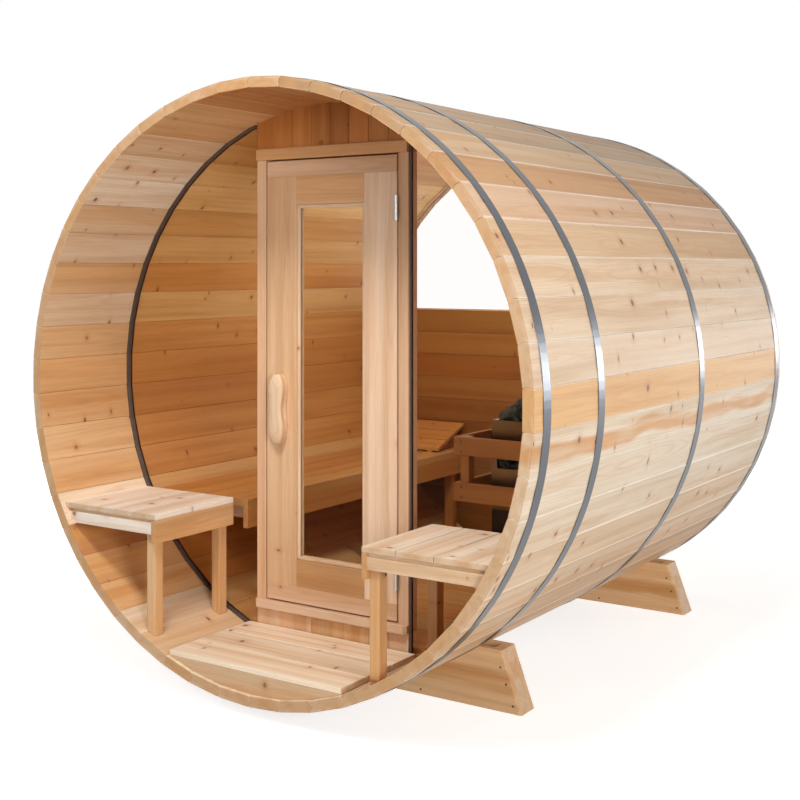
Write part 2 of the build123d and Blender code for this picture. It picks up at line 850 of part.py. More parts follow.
with BuildPart() as cradle_end_blocks:
    for cradle_y in cradle_ys:
        with BuildSketch(upright(cradle_y + cradle_board_thickness)):
            with BuildLine():
                Polyline(*cradle_corners(0), close=True)
            make_face()
            with BuildLine():
                Polyline(*cradle_corners(cradle_end_thickness), close=True)
            make_face(mode=Mode.SUBTRACT)
        extrude(amount=-cradle_block_thickness)
write(cradle_end_blocks, "cradle_end_blocks")
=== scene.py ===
"""Looks of the barrel sauna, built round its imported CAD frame. Lengths are in metres."""

import random
from math import asin, cos, pi, radians, sin, sqrt, tan

import bmesh
import bpy
import numpy as np
from mathutils import Matrix, Vector, noise


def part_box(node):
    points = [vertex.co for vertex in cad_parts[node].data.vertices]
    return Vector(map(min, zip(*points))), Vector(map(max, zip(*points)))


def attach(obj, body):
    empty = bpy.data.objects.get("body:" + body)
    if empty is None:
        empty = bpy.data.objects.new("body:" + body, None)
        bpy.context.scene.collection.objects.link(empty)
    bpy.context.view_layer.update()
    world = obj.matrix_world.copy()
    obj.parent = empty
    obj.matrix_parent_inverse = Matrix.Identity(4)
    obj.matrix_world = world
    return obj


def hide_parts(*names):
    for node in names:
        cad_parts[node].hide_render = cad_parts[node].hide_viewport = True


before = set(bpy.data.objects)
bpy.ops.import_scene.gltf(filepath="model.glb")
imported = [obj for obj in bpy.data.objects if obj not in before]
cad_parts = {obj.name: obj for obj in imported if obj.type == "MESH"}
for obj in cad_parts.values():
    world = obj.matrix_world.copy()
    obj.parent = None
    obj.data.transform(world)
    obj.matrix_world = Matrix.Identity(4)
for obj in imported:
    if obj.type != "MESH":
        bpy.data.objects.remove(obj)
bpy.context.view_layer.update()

draw = random.Random(7)

# ---- Sizes read from the frame ----
STAVE_GROUPS = [
    "right_side",
    "right_upper",
    "roof_right",
    "roof_left",
    "left_upper",
    "left_side",
    "left_lower",
    "floor_left",
    "floor_right",
    "right_lower",
]
STAVE_COUNT = 50
STAVES_PER_GROUP = STAVE_COUNT // len(STAVE_GROUPS)
HALF_STAVE = pi / STAVE_COUNT
WALL = 0.038  # thickness of a stave
CROZE = 0.010  # depth of the groove that takes an end wall

barrel_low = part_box("staves_floor_left")[0]
barrel_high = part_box("staves_roof_left")[1]
FRONT_Y = barrel_low.y
REAR_Y = barrel_high.y
AXIS_Z = (barrel_low.z + barrel_high.z) / 2
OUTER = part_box("staves_right_side")[1].x  # from the axis to the staves' outer flats
INNER = OUTER - WALL  # to their inner flats
CORNER = OUTER / cos(HALF_STAVE)  # to the corners where two staves meet outside
GROOVE = INNER + CROZE  # to the bottom of the groove
SEATED = GROOVE - 0.002  # to the ends of the boards that stand in it
WALL_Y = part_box("front_header")[0].y


# ---- Materials ----
RING_WIDTH = 0.0046  # of a growth ring
KNOTS_ALONG = 6.5  # places for a knot in a metre of board
KNOTS_ACROSS = 7.5
KNOT_RADIUS = 0.0095  # of the largest


def srgb(red, green, blue):
    """A colour written as it looks on screen, 0 to 255, as the linear colour that nodes take."""
    parts = [value / 255 for value in (red, green, blue)]
    return tuple(p / 12.92 if p <= 0.04045 else ((p + 0.055) / 1.055) ** 2.4 for p in parts) + (1,)


LATE_WOOD = srgb(178, 120, 64)
HEART_WOOD = srgb(212, 154, 90)
KNOT_RIM = srgb(176, 104, 50)
KNOT = srgb(98, 54, 20)
KNOT_RED = srgb(166, 104, 52)
END_TONE = srgb(186, 142, 96)


class Nodes:
    """Short ways to add and join the nodes of a material or a world. shader is the name of the
    node that takes the values given to finish."""

    def __init__(self, owner, shader="Principled BSDF"):
        self.owner = owner
        owner.use_nodes = True
        self.tree = owner.node_tree
        self.shader = self.tree.nodes[shader]

    def join(self, source, socket):
        if isinstance(source, (int, float, tuple, list, Vector)):
            socket.default_value = source
        else:
            self.tree.links.new(source, socket)

    def add(self, kind, inputs=(), **settings):
        node = self.tree.nodes.new("ShaderNode" + kind)
        for key, value in settings.items():
            setattr(node, key, value)
        for socket, source in dict(inputs).items():
            self.join(source, node.inputs[socket])
        return node

    def math(self, operation, first, second=0.0, third=0.0, clamp=False):
        sockets = {0: first, 1: second, 2: third}
        return self.add("Math", sockets, operation=operation, use_clamp=clamp).outputs[0]

    def noise(self, vector, scale, detail=2.0, roughness=0.5):
        sockets = {"Vector": vector, "Scale": scale, "Detail": detail, "Roughness": roughness}
        return self.add("TexNoise", sockets).outputs["Fac"]

    def stretch(self, vector, scale, offset=(0, 0, 0)):
        node = self.add("Mapping", {"Vector": vector, "Scale": scale, "Location": offset})
        return node.outputs[0]

    def steps(self, factor, *stops):
        """A colour ramp that eases in and out. Each stop is (position, colour or grey level)."""
        node = self.add("ValToRGB", {"Fac": factor})
        ramp = node.color_ramp
        ramp.interpolation = "EASE"
        while len(ramp.elements) < len(stops):
            ramp.elements.new(0.5)
        for element, (position, colour) in zip(ramp.elements, stops):
            element.position = position
            grey = isinstance(colour, (int, float))
            element.color = (colour, colour, colour, 1) if grey else colour
        return node.outputs[0]

    def mix(self, factor, first, second, blend="MIX"):
        node = self.add("Mix", data_type="RGBA", blend_type=blend)
        self.join(factor, node.inputs[0])
        self.join(first, node.inputs[6])
        self.join(second, node.inputs[7])
        return node.outputs[2]

    def bump(self, height, distance, strength):
        sockets = {"Height": height, "Distance": distance, "Strength": strength}
        return self.add("Bump", sockets).outputs[0]

    def seen(self):
        """1 for the rays that carry what the camera sees, straight, mirrored or through glass."""
        rays = self.add("LightPath").outputs
        seen = self.math("MAXIMUM", rays["Is Camera Ray"], rays["Is Glossy Ray"])
        return self.math("MAXIMUM", seen, rays["Is Transmission Ray"])

    def finish(self, **values):
        for socket, source in values.items():
            self.join(source, self.shader.inputs[socket.replace("_", " ")])
        return self.owner


def material_nodes(name):
    return Nodes(bpy.data.materials.new(name))


def wood(name, knots, roughness=0.52):
    """Softwood. Boards carry their place in the grain, their tone and their ends as attributes.
    knots is the share of the places for a knot that have one."""
    n = material_nodes(name)
    place = n.add("Attribute", attribute_name="grain").outputs["Vector"]
    tone_node = n.add("Attribute", attribute_name="tone")
    tone, heartwood = tone_node.outputs["Color"], tone_node.outputs["Alpha"]
    end = n.add("Attribute", attribute_name="end").outputs["Fac"]
    side = n.math("SUBTRACT", 1.0, end)
    axes = n.add("SeparateXYZ", {0: place})

    # Knots, oval in the board's face, which push the rings aside
    spot = n.stretch(place, (KNOTS_ALONG, KNOTS_ACROSS, 0.0))
    sockets = {"Vector": spot, "Scale": 1.0, "Randomness": 0.9}
    cells = n.add("TexVoronoi", sockets, voronoi_dimensions="2D")
    lot = n.add("SeparateColor", {0: cells.outputs["Color"]})
    pick = n.math("MULTIPLY_ADD", lot.outputs[0], 1 / knots, 1 - 1 / knots, clamp=True)
    size = n.math("MULTIPLY", n.math("POWER", pick, 0.5), KNOT_RADIUS)
    size = n.math("MULTIPLY", size, side)
    offset = n.add("VectorMath", {0: spot, 1: cells.outputs["Position"]}, operation="SUBTRACT")
    apart = n.add("SeparateXYZ", {0: offset.outputs[0]})
    narrow = n.math("MULTIPLY_ADD", lot.outputs[1], 1.5, 0.9)
    along = n.math("MULTIPLY", n.math("MULTIPLY", apart.outputs[0], 1 / KNOTS_ALONG), narrow)
    beside = n.math("MULTIPLY", apart.outputs[1], 1 / KNOTS_ACROSS)
    away = n.math("ADD", n.math("MULTIPLY", along, along), n.math("MULTIPLY", beside, beside))
    ragged = n.noise(n.stretch(place, (150, 150, 30)), 1.0, 2.0)
    away = n.math("MULTIPLY_ADD", ragged, 0.004, n.math("SQRT", away))
    nearness = n.math("DIVIDE", size, n.math("MAXIMUM", away, 0.0004))
    knot = n.steps(nearness, (0.60, 0.0), (0.80, 0.75), (1.0, 1.0))
    halo = n.steps(nearness, (0.10, 0.0), (0.65, 1.0))
    push = n.math("POWER", n.math("MINIMUM", nearness, 1.0), 2.0)
    push = n.math("MULTIPLY", push, n.math("MULTIPLY", size, 1.5))

    # Growth rings round a pith that lies outside the board
    drift = n.noise(n.stretch(place, (0.9, 4.0, 4.0)), 1.0, 3.0, 0.45)
    wide = n.math("MULTIPLY", axes.outputs[1], axes.outputs[1])
    deep = n.math("MULTIPLY", axes.outputs[2], axes.outputs[2])
    radius = n.math("SQRT", n.math("ADD", wide, deep))
    radius = n.math("MULTIPLY_ADD", drift, 0.045, radius)
    radius = n.math("ADD", radius, push)
    rings = n.math("FRACT", n.math("MULTIPLY", radius, 1 / RING_WIDTH))
    late = n.steps(rings, (0.0, 0.2), (0.5, 0.0), (0.88, 1.0), (1.0, 0.2))
    spread = n.add("CombineXYZ", {0: n.math("MULTIPLY", radius, 38.0)}).outputs[0]
    years = n.noise(spread, 1.0, 1.0)

    fibre = n.noise(n.stretch(place, (12, 420, 420)), 1.0, 2.0, 0.6)
    streak = n.noise(n.stretch(place, (0.9, 24, 24)), 1.0, 3.0, 0.5)
    sun = n.noise(n.stretch(place, (0.8, 2.0, 2.0), (7, 5, 1)), 1.0, 1.0)

    # Heartwood, a wavering strip along the board
    waver = n.noise(n.stretch(place, (2.4, 1.0, 1.0), (3, 1, 2)), 1.0, 2.0, 0.4)
    shift = n.math("MULTIPLY_ADD", waver, 0.12, -0.06)
    aside = n.math("ABSOLUTE", n.math("ADD", axes.outputs[1], shift))
    heart = n.steps(n.math("MULTIPLY", aside, 10.0), (0.18, 1.0), (0.40, 0.0))
    flame = n.noise(n.stretch(place, (2.5, 26, 26), (1, 9, 4)), 1.0, 1.0, 0.5)
    heart = n.math("MULTIPLY", heart, n.steps(flame, (0.36, 0.6), (0.54, 1.0)))
    heart = n.math("MULTIPLY", heart, heartwood)

    late_share = n.math("MULTIPLY_ADD", end, 0.30, 0.16)
    colour = n.mix(n.math("MULTIPLY", late, late_share), tone, LATE_WOOD)
    colour = n.mix(n.math("MULTIPLY", heart, 0.9), colour, HEART_WOOD)
    warm_dark = (0.91, 0.83, 0.74, 1)
    soft_dark = (0.96, 0.92, 0.87, 1)
    white = (1.03, 1.03, 1.03, 1)
    for factor, low, dark, high in (
        (streak, 0.32, warm_dark, 0.58),
        (years, 0.32, soft_dark, 0.60),
        (sun, 0.35, soft_dark, 0.62),
        (fibre, 0.25, soft_dark, 0.70),
    ):
        shade = n.steps(factor, (low, dark), (high, white))
        colour = n.mix(1.0, colour, shade, "MULTIPLY")
    colour = n.mix(n.math("MULTIPLY", halo, 0.35), colour, KNOT_RIM)
    knot_tone = n.mix(lot.outputs[2], KNOT, KNOT_RED)
    colour = n.mix(n.math("MULTIPLY", knot, 0.85), colour, knot_tone)
    colour = n.mix(n.math("MULTIPLY", end, 0.50), colour, END_TONE)

    height = n.math("MULTIPLY_ADD", late, -0.5, n.math("MULTIPLY", fibre, 0.7))
    height = n.math("MULTIPLY_ADD", knot, -0.4, height)
    gloss = n.math("MULTIPLY_ADD", fibre, 0.16, roughness - 0.08)
    return n.finish(
        Base_Color=colour,
        Roughness=gloss,
        Specular_IOR_Level=0.35,
        Normal=n.bump(height, 0.0005, 0.4),
    )


def metal(name, colour, roughness, grain=(4, 900, 900), scratch=0.10):
    """Brushed or rolled metal. grain is how often its lines repeat in a metre along x, y and z."""
    n = material_nodes(name)
    place = n.add("TexCoord").outputs["Object"]
    lines = n.noise(n.stretch(place, grain), 1.0, 3.0, 0.6)
    smudge = n.noise(place, 5.0, 3.0, 0.5)
    tint = n.steps(smudge, (0.3, 0.94), (0.7, 1.0))
    finish = n.math("MULTIPLY_ADD", lines, scratch, roughness - scratch / 2)
    finish = n.math("MULTIPLY_ADD", smudge, 0.06, finish)
    return n.finish(
        Base_Color=n.mix(1.0, colour, tint, "MULTIPLY"),
        Metallic=1.0,
        Roughness=finish,
        Normal=n.bump(lines, 0.0002, 0.25),
    )


def tinted_glass(name, tint, lamp_tint):
    """Glass of one tint for what is seen through it and another for the light of lamps."""
    n = material_nodes(name)
    place = n.add("TexCoord").outputs["Object"]
    haze = n.noise(place, 3.0, 2.0)
    n.finish(
        Base_Color=tint,
        Roughness=n.steps(haze, (0.45, 0.0), (0.8, 0.02)),
        IOR=1.08,
        Transmission_Weight=1.0,
    )
    clear = n.add("BsdfTransparent", {"Color": lamp_tint})
    lamps = n.add("LightPath").outputs["Is Shadow Ray"]
    both = n.add("MixShader", {0: lamps, 1: n.shader.outputs[0], 2: clear.outputs[0]})
    n.join(both.outputs[0], n.tree.nodes["Material Output"].inputs["Surface"])
    return n.owner


def rubber(name, colour):
    n = material_nodes(name)
    place = n.add("TexCoord").outputs["Object"]
    dust = n.noise(place, 60.0, 4.0, 0.7)
    tone = n.mix(n.steps(dust, (0.45, 0.0), (0.8, 0.5)), colour, srgb(112, 96, 84))
    return n.finish(Base_Color=tone, Roughness=0.42, Normal=n.bump(dust, 0.0004, 0.3))


def rock(name):
    """Split olivine stone: grey-green, grainy, with dark and pale flecks."""
    n = material_nodes(name)
    place = n.add("TexCoord").outputs["Object"]
    broad = n.noise(place, 11.0, 4.0, 0.6)
    grit = n.noise(place, 260.0, 4.0, 0.75)
    flecks = n.add("TexVoronoi", {"Vector": place, "Scale": 420.0}).outputs["Distance"]
    dark, middle, pale = srgb(40, 42, 38), srgb(66, 70, 60), srgb(104, 106, 92)
    tone = n.steps(broad, (0.32, dark), (0.52, middle), (0.7, pale))
    tone = n.mix(n.steps(grit, (0.5, 0.0), (0.72, 0.5)), tone, srgb(42, 44, 42))
    tone = n.mix(n.steps(flecks, (0.1, 0.6), (0.22, 0.0)), tone, srgb(168, 166, 150))
    height = n.math("MULTIPLY_ADD", grit, 0.5, broad)
    return n.finish(Base_Color=tone, Roughness=0.82, Normal=n.bump(height, 0.004, 0.6))


STAVE_WOOD = wood("stave_wood", 0.42)
FRAME_WOOD = wood("frame_wood", 0.25)
DOOR_WOOD = wood("door_wood", 0.15, roughness=0.48)
FLOOR_WOOD = wood("floor_wood", 0.45)
BENCH_WOOD = wood("bench_wood", 0.50)
CRADLE_WOOD = wood("cradle_wood", 0.25)
BAND_STEEL = metal("band_steel", srgb(92, 95, 101), 0.26, grain=(3, 900, 3), scratch=0.06)
HINGE_STEEL = metal("hinge_steel", srgb(190, 188, 184), 0.32)
SCREW_STEEL = metal("screw_steel", srgb(92, 84, 76), 0.45)
# Dark steel, whose warm brown is a painted reflection of the wood round it
HEATER_STEEL = metal("heater_steel", srgb(106, 72, 40), 0.28, grain=(900, 900, 6))
HEATER_RIM = metal("heater_rim", srgb(214, 208, 200), 0.14, scratch=0.03)
HEATER_DARK = metal("heater_dark", srgb(58, 44, 34), 0.5, scratch=0.05)
GLASS = tinted_glass("tinted_glass", srgb(255, 254, 253), srgb(168, 138, 106))
CHANNEL = rubber("channel_rubber", srgb(84, 68, 60))
STONE = rock("stone")


# ---- Boards ----
AXES = {"x": 0, "y": 1, "z": 2}
SHARP = radians(28)  # an edge of a CAD solid with a greater angle is eased
FLAT = radians(1)  # faces of a CAD solid with a smaller angle between them are joined
WELD = 1e-5


def is_sharp(edge):
    return edge.is_manifold and edge.calc_face_angle() > SHARP


def round_off(bm, edges, radius, segments, clamp=True):
    """Bevels the edges, and returns the new vertices."""
    shape = {"segments": segments, "profile": 0.6, "affect": "EDGES", "clamp_overlap": clamp}
    return bmesh.ops.bevel(bm, geom=edges, offset=radius, **shape)["verts"]


def join_loops(bm, loops, closed=False):
    """Faces between neighbours in a row of loops, and between the last and the first if closed."""
    for here, there in zip(loops, loops[1:] + loops[:1] if closed else loops[1:]):
        for i in range(len(here)):
            j = (i + 1) % len(here)
            bm.faces.new((here[i], here[j], there[j], there[i]))


class Boards:
    """The boards of one piece, in one mesh, each with its own grain and tone."""

    def __init__(self):
        self.bm = bmesh.new()
        self.grain = self.bm.verts.layers.float_vector.new("grain")
        self.tone = self.bm.verts.layers.float_color.new("tone")
        self.end = self.bm.verts.layers.float.new("end")

    def mark(self, verts, to_grain, run, tone, figure):
        """Gives a board's vertices their place in its grain, which to_grain works out. run is the
        direction of its grain, and the faces across it are its ends. figure is how much
        heartwood it shows."""
        start = Vector((draw.uniform(0, 40), draw.uniform(-0.03, 0.03), 0))
        pith = draw.choice((-1, 1)) * draw.uniform(0.03, 0.11)
        for face in {face for vert in verts for face in vert.link_faces}:
            face.normal_update()
        for vert in verts:
            along, across, deep = to_grain(vert.co)
            vert[self.grain] = (along + start.x, across + start.y, deep + pith)
            vert[self.tone] = (tone[0], tone[1], tone[2], figure)
            vert[self.end] = float(any(abs(f.normal.dot(run)) > 0.8 for f in vert.link_faces))

    def mark_straight(self, verts, run, tone, figure):
        """Marks a board whose grain runs along an axis, with its wider side as its face."""
        verts = sorted(verts, key=lambda vert: tuple(vert.co))
        spread = [max(v.co[i] for v in verts) - min(v.co[i] for v in verts) for i in range(3)]
        centre = sum((v.co for v in verts), Vector()) / len(verts)
        first = AXES[run] if run else spread.index(max(spread))
        second, third = [i for i in range(3) if i != first]
        if spread[second] < spread[third]:
            second, third = third, second

        def to_grain(point):
            local = point - centre
            return local[first], local[second], local[third]

        self.mark(verts, to_grain, Vector([float(i == first) for i in range(3)]), tone, figure)

    def prism(self, points, axis, low, high, run, tone, figure, ease):
        """A board with the outline points in the plane across axis, eased along its edges.
        points are in the order of the other two axes, and run is the axis of its grain."""
        count = len(points)
        at = AXES[axis]
        near = [self.bm.verts.new((*p[:at], low, *p[at:])) for p in points]
        far = [self.bm.verts.new((*p[:at], high, *p[at:])) for p in points]
        faces = [self.bm.faces.new(near), self.bm.faces.new(far[::-1])]
        for i in range(count):
            j = (i + 1) % count
            faces.append(self.bm.faces.new((near[j], near[i], far[i], far[j])))
        bmesh.ops.recalc_face_normals(self.bm, faces=faces)
        edges = list(dict.fromkeys(edge for face in faces for edge in face.edges))
        made = round_off(self.bm, edges, ease, segments=2, clamp=False)
        verts = {v for v in near + far if v.is_valid} | set(made)
        self.mark_straight(verts, run, tone, figure)
        return verts

    def block(self, low, high, run, tone, figure, ease):
        """A board that fills the box between two corners."""
        points = [(low[0], low[1]), (high[0], low[1]), (high[0], high[1]), (low[0], high[1])]
        return self.prism(points, "z", low[2], high[2], run, tone, figure, ease)

    def copy(self, node, tones, run, figure, ease, rounds=None, reshape=None):
        """Each solid of a CAD node as a board of its own, with its edges eased. tones are a list
        to draw from, or a function of the board's middle. rounds is a test for the edges that are
        rounded off, and their radius. reshape moves a corner."""
        part = bmesh.new()
        part.from_mesh(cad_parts[node].data)
        bmesh.ops.remove_doubles(part, verts=part.verts[:], dist=WELD)
        bmesh.ops.dissolve_limit(part, angle_limit=FLAT, verts=part.verts[:], edges=part.edges[:])
        if reshape:
            for vert in part.verts:
                vert.co = reshape(vert.co)
        if rounds:
            test, radius = rounds
            chosen = [e for e in part.edges if is_sharp(e) and test(*[v.co for v in e.verts])]
            round_off(part, chosen, radius, segments=4)
        round_off(part, [e for e in part.edges if is_sharp(e)], ease, segments=2)
        twins = {vert: self.bm.verts.new(vert.co) for vert in part.verts}
        for face in part.faces:
            self.bm.faces.new([twins[vert] for vert in face.verts])
        done = set()
        for first in part.verts:
            if first in done:
                continue
            done.add(first)
            board = [first]  # it grows in the loop, until it holds all that hangs together
            for vert in board:
                for edge in vert.link_edges:
                    other = edge.other_vert(vert)
                    if other not in done:
                        done.add(other)
                        board.append(other)
            own = [twins[vert] for vert in board]
            if callable(tones):
                tone = varied(tones(sum((v.co for v in own), Vector()) / len(own)), 0.02)
            else:
                tone = varied(draw.choice(tones))
            self.mark_straight(own, run, tone, figure)
        part.free()

    def piece(self, name, body, slot, material, *nodes, smooth=False):
        return finish_piece(name, self.bm, body, slot, material, *nodes, smooth=smooth)


def add_object(name, bm, material):
    """Puts a mesh in the scene, and frees the bmesh that it is made from."""
    mesh = bpy.data.meshes.new(name)
    bm.to_mesh(mesh)
    bm.free()
    mesh.materials.append(material)
    thing = bpy.data.objects.new(name, mesh)
    bpy.context.scene.collection.objects.link(thing)
    return thing


def finish_piece(name, bm, body, slot, material, *nodes, smooth=False):
    """Puts a mesh in the scene as a piece of the object, which may stand for CAD nodes."""
    piece = add_object(name, bm, material)
    if smooth:
        polygons = piece.data.polygons
        polygons.foreach_set("use_smooth", [True] * len(polygons))
    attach(piece, body)
    if nodes:
        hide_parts(*nodes)
    return piece


# Tones of the wood, as they look in plain light, but for those that hold painted shade
WHITE_WOOD = srgb(244, 236, 226)
SAP = srgb(240, 226, 206)
PALE = srgb(228, 205, 178)
PINK = srgb(220, 188, 160)
TAN = srgb(216, 186, 152)
HONEY = srgb(218, 178, 134)
AMBER = srgb(228, 184, 128)
ORANGE = srgb(212, 166, 118)
BROWN = srgb(190, 136, 88)
# Painted shade: darker tones for the staves on top, outside, where less light falls
SHADED_TOP_TAN = srgb(198, 170, 138)
SHADED_TOP_HONEY = srgb(192, 150, 108)
SHADED_TOP = srgb(176, 156, 130)
SHADED_TOP_DARK = srgb(158, 136, 110)
CRADLE_TONE = srgb(240, 204, 160)
DOOR_TONE = srgb(220, 184, 148)
DOOR_TONE_RIGHT = srgb(236, 210, 186)
TOP_RAIL_TONE = srgb(222, 177, 132)
LOW_RAIL_TONE = srgb(190, 145, 100)
# Painted shade: the header boards under the barrel's crown are darker and warmer
HEADER_SHADED_TONES = srgb(178, 116, 54), srgb(192, 126, 64), srgb(166, 104, 46)
SHOP_MIX = [PALE, TAN, TAN, PINK, HONEY]  # for faces of staves that the photograph doesn't show
ROOM_SHADE = (0.86, 0.68, 0.36)  # how much painted shade darkens and warms the wood in the room


def varied(tone, amount=0.05):
    """A board's own tone: a little lighter or darker, redder or yellower."""
    light = 1 + draw.uniform(-amount, amount)
    warm = draw.uniform(-amount, amount) / 2
    return (tone[0] * light * (1 + warm), tone[1] * light, tone[2] * light * (1 - warm), 1)


# Painted shade: darker, warmer wood for the dim room
def room_shaded(tone):
    return (tone[0] * ROOM_SHADE[0], tone[1] * ROOM_SHADE[1], tone[2] * ROOM_SHADE[2], 1)


def deep_room_shaded(tone, shade):
    """Painted shade for the darkest wood of the room. shade is a share of the tone."""
    return room_shaded([shade * part for part in room_shaded(tone)])


DEEP_SHADED = deep_room_shaded(HONEY, 0.8)


def left_to_right(*tones):
    """Tones for boards side by side across the barrel, from its left to its right."""

    def tone_at(centre):
        place = int((centre.x + OUTER) / (2 * OUTER) * len(tones))
        return tones[min(place, len(tones) - 1)]

    return tone_at


def reach(level, radius=INNER):
    """Half the width of a circle round the barrel's axis, at a level above the axis."""
    return sqrt(max(radius**2 - level**2, 0.0))


# ---- Staves ----
BEAD = 0.024  # radius of the bead along a stave's edge
BEAD_SHOULDER = 0.005  # flat beside the bead
PLAY = 0.0005  # between a stave and the next
STAVE_EASE = 0.0022
END_EASE = 0.0015
ARC_STEPS = 7


def stave_outline():
    """Cross-section of the stave on the right, as (outwards, upwards) from the axis."""
    middle = OUTER - WALL / 2
    rise = WALL / 2 - BEAD_SHOULDER
    sink = sqrt(BEAD**2 - rise**2)
    turn = HALF_STAVE - asin(sink / middle)
    outer_half = OUTER * tan(HALF_STAVE) - PLAY / 2
    inner_half = INNER * tan(HALF_STAVE) - PLAY / 2

    def arc(centre_angle, radius):
        centre = Vector((middle * cos(centre_angle), middle * sin(centre_angle)))
        out = Vector((cos(HALF_STAVE), sin(HALF_STAVE) if centre_angle > 0 else -sin(HALF_STAVE)))
        side = Vector((-out.y, out.x))
        span = asin(rise / radius)
        swing = [span * (2 * i / ARC_STEPS - 1) for i in range(ARC_STEPS + 1)]
        return [centre + out * radius * sin(a) + side * radius * cos(a) for a in swing]

    bead = arc(turn, BEAD)
    cove = arc(turn - 2 * HALF_STAVE, BEAD + PLAY)
    ease = STAVE_EASE
    points = [Vector((INNER, -inner_half + ease)), Vector((INNER, inner_half - ease))]
    points += [Vector((INNER + ease, inner_half + ease * sin(HALF_STAVE)))] + bead
    points += [Vector((OUTER - ease, outer_half)), Vector((OUTER, outer_half - ease))]
    points += [Vector((OUTER, outer_half - 2 * ease)), Vector((OUTER, -outer_half + 2 * ease))]
    points += [Vector((OUTER, -outer_half + ease)), Vector((OUTER - ease, -outer_half))]
    points += cove[::-1] + [Vector((INNER + ease, -inner_half - ease * sin(HALF_STAVE)))]
    return points


OUTLINE = stave_outline()
STAVE_MIDDLE = Vector((OUTER - WALL / 2, 0))
# Places in the outline: those on the outer edges, painted paler as a highlight along the joints,
# and those on the inner face
JOINT_HIGHLIGHT = [
    i
    for i, p in enumerate(OUTLINE)
    if p.x > OUTER - 1.01 * STAVE_EASE and abs(p.y) > OUTER * tan(HALF_STAVE) - 1.2 * STAVE_EASE
]
ROOM_SIDE = [i for i, p in enumerate(OUTLINE) if p.x < INNER + 1.01 * STAVE_EASE]
# The inner face turns from the porch's tone to the room's painted shade between these
PORCH_END, ROOM_START = WALL_Y + 0.002, WALL_Y + 0.003
STAVE_RIMS = (  # place along the barrel, and how much smaller the outline is there
    (FRONT_Y, END_EASE),
    (FRONT_Y + END_EASE, 0),
    (PORCH_END, 0),
    (ROOM_START, 0),
    (REAR_Y - END_EASE, 0),
    (REAR_Y, END_EASE),
)


def add_stave(boards, index, tone, figure, inner_tone):
    angle = index * 2 * HALF_STAVE
    out = Vector((cos(angle), 0, sin(angle)))
    up = Vector((-sin(angle), 0, cos(angle)))
    base = Vector((0, 0, AXIS_Z))
    rims = []
    for y, inset in STAVE_RIMS:
        rim = []
        for point in OUTLINE:
            pulled = point + (STAVE_MIDDLE - point).normalized() * inset
            spot = base + out * pulled.x + up * pulled.y + Vector((0, y, 0))
            rim.append(boards.bm.verts.new(spot))
        rims.append(rim)
    boards.bm.faces.new(rims[0])
    boards.bm.faces.new(rims[-1][::-1])
    join_loops(boards.bm, rims[::-1])

    def to_grain(point):
        local = point - base
        return local.y, local.dot(up), local.dot(out) - STAVE_MIDDLE.x

    boards.mark([v for rim in rims for v in rim], to_grain, Vector((0, 1, 0)), tone, figure)
    for (y, _), rim in zip(STAVE_RIMS, rims):
        # Painted highlight: the outer edges of each stave are paler
        for corner in JOINT_HIGHLIGHT:
            rim[corner][boards.tone] = tuple(0.45 + 0.55 * c for c in tone[:3]) + (0.0,)
        for corner in ROOM_SIDE:
            # Inside the room the inner face carries painted shade
            if PORCH_END < y < REAR_Y:
                rim[corner][boards.tone] = room_shaded(inner_tone)[:3] + (0.0,)
            else:
                rim[corner][boards.tone] = inner_tone[:3] + (figure,)


# The staves that were matched, by their place from the right, anticlockwise as seen from
# the front: tone of the face that shows, and share of heartwood
# Some of these tones hold painted shade: the darker ones of staves 6 to 11 on top outside, of 12
# to 14 inside the porch's crown, and of 30 to 32 low down under the porch's left bench
STAVE_TONES = {
    0: (AMBER, 0.0), 1: (PALE, 0.1), 2: (PALE, 0.1), 3: (PALE, 0.2), 4: (TAN, 0.1),
    5: (PINK, 0.1), 6: (SHADED_TOP_HONEY, 0.1), 7: (SHADED_TOP_TAN, 0.1), 8: (SHADED_TOP, 0.2),
    9: (SHADED_TOP_DARK, 0.3), 10: (SHADED_TOP_DARK, 0.2), 11: (SHADED_TOP_DARK, 0.3), 12: (BROWN, 0.2),
    13: (BROWN, 0.2), 14: (BROWN, 0.3), 15: (HONEY, 0.1), 16: (HONEY, 0.2), 17: (TAN, 0.1),
    18: (SAP, 0.3), 19: (SAP, 0.1), 20: (TAN, 0.3), 21: (PALE, 0.1), 22: (HONEY, 0.4),
    23: (PALE, 0.2), 24: (HONEY, 0.1), 25: (ORANGE, 0.3), 26: (ORANGE, 0.2), 27: (HONEY, 0.1),
    28: (HONEY, 0.3), 29: (PALE, 0.1), 30: (BROWN, 0.6), 31: (ORANGE, 0.5), 32: (ORANGE, 0.5),
    33: (PALE, 0.2), 34: (TAN, 0.1), 35: (SAP, 0.1), 36: (SAP, 0.2), 37: (SAP, 0.1),
    38: (SAP, 0.2), 39: (SAP, 0.1), 40: (SAP, 0.1), 43: (TAN, 0.3), 44: (TAN, 0.2),
    45: (PALE, 0.3), 46: (PALE, 0.0), 47: (SAP, 0.2), 48: (SAP, 0.1), 49: (SAP, 0.9),
}
INNER_SHOWS = range(12, 42)  # the staves whose inner face is the one that was matched

for group_place, group in enumerate(STAVE_GROUPS):
    staves = Boards()
    first = group_place * STAVES_PER_GROUP - STAVES_PER_GROUP // 2
    for index in range(first, first + STAVES_PER_GROUP):
        hidden, figure = draw.choice(SHOP_MIX), draw.choice((0.0, 0.1, 0.3, 0.5))
        shown, figure = STAVE_TONES.get(index % STAVE_COUNT, (hidden, figure))
        shown = varied(shown, 0.03)
        if index % STAVE_COUNT in INNER_SHOWS:
            add_stave(staves, index, hidden, figure, shown)
        else:
            add_stave(staves, index, shown, figure, hidden)
    staves.piece(f"planks_{group}", "sauna", "stave_wood", STAVE_WOOD, f"staves_{group}")


# ---- Bands ----
BAND_STEPS = 240
BAND_IN = CORNER
BAND_OUT = CORNER + 0.0012
BAND_EASE = 0.0005

